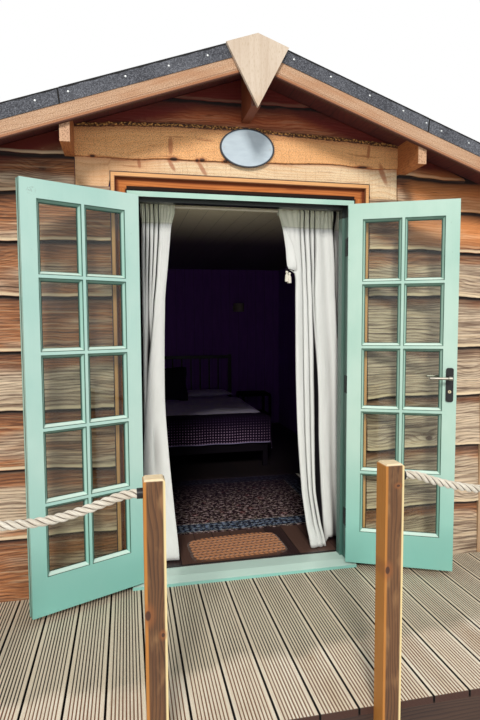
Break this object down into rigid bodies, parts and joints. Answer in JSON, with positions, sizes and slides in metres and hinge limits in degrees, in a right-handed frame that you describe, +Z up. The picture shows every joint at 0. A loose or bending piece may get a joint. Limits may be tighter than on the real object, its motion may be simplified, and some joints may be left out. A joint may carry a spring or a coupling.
{
  "type": "timber holiday lodge",
  "caption": "Timber-clad holiday lodge with outward-opening glazed doors, a low pitched felt roof, a grooved deck with rope posts and a furnished bedroom inside.",
  "frame": {"origin": "on the level ground under the middle front foundation pad, in the middle of the doorway's width and in line with the front face of the door frame", "axes": "+Z up, +Y from the deck into the room, +X to the right as seen from the deck"},
  "size_m": [3.37, 5.7746, 2.993],
  "materials": {
    "concrete": "rough",
    "carcass_timber": "sawn",
    "wall_board": "matt painted",
    "floor_board": "worn, dark stained",
    "planed_timber": "planed, oiled",
    "cladding_timber": "waney edged, oiled",
    "pale_plate": "planed, bare",
    "roof_felt": "mineral surfaced felt",
    "slate_plate": "honed",
    "green_paint": "satin painted",
    "pane_glass": "clear",
    "black_metal": "satin black",
    "lever_metal": "satin",
    "deck_timber": "grooved, weathered",
    "post_timber": "planed, pressure treated",
    "rope_fibre": "three-strand rope",
    "rod_paint": "white gloss",
    "curtain_cloth": "slubby cotton",
    "coir": "plaited coir",
    "rug_wool": "flat pile, worn pattern",
    "bed_metal": "satin black",
    "bed_timber": "dark stained",
    "white_linen": "cotton",
    "blanket_wool": "waffle weave",
    "dark_cushion": "velvet",
    "lamp_shade": "matt dark"
  },
  "bodies": {
    "building": {"foundation_pads": "concrete", "floor_bearers": "carcass_timber", "floor_frame": "carcass_timber", "floor": "floor_board", "front_wall_left": "wall_board", "front_wall_right": "wall_board", "front_gable_wall": "wall_board", "left_wall": "wall_board", "right_wall": "wall_board", "back_wall": "wall_board", "ceiling": "wall_board", "corner_boards": "cladding_timber", "roof_panel_left": "planed_timber", "roof_panel_right": "planed_timber", "roof_felt": "roof_felt", "ridge_cap": "roof_felt", "bargeboards": "planed_timber", "eaves_fascias": "planed_timber", "verge_felt": "roof_felt", "roof_beams": "planed_timber", "apex_plates": "pale_plate", "header_board": "cladding_timber", "name_plaque": "slate_plate", "door_trim": "planed_timber", "door_lining": "cladding_timber", "door_frame": "green_paint", "door_sill": "green_paint", "frame_hinge_flaps": "black_metal", "deck_boards": "deck_timber", "deck_frame": "carcass_timber", "deck_posts": "post_timber", "rope_sockets": "black_metal", "rope_left": "rope_fibre", "rope_right": "rope_fibre", "curtain_rod": "rod_paint", "curtain_left": "curtain_cloth", "curtain_right": "curtain_cloth", "doormat": "coir", "rug": "rug_wool", "bed_headboard": "bed_metal", "bed_base": "bed_timber", "mattress": "white_linen", "duvet": "white_linen", "blanket": "blanket_wool", "pillows": "white_linen", "cushion": "dark_cushion", "bedside_table": "bed_timber", "wall_light": "lamp_shade"},
    "left_door": {"left_door_leaf": "green_paint", "left_door_glass": "pane_glass", "left_hinge_flaps": "black_metal"},
    "right_door": {"right_door_leaf": "green_paint", "right_door_glass": "pane_glass", "right_hinge_flaps": "black_metal", "lock_plates": "black_metal"},
    "handle": {"door_handle": "lever_metal"}
  },
  "joints": [
    {"name": "left_door_swing", "type": "hinge", "parent": "building", "child": "left_door", "pos_m": [-0.5875, -0.006, 1.255], "axis": [0, 0, -1], "range_deg": [-154.3, 10.7]},
    {"name": "right_door_swing", "type": "hinge", "parent": "building", "child": "right_door", "pos_m": [0.5875, -0.006, 1.255], "axis": [0, 0, 1], "range_deg": [-155.5, 9.5]},
    {"name": "handle_turn", "type": "hinge", "parent": "right_door", "child": "handle", "pos_m": [1.07282, -0.25794, 1.307], "axis": [-0.4147, -0.91, 0], "range_deg": [0, 35], "stiffness_Nm_per_rad": 1.2, "springref_deg": -22.92}
  ]
}
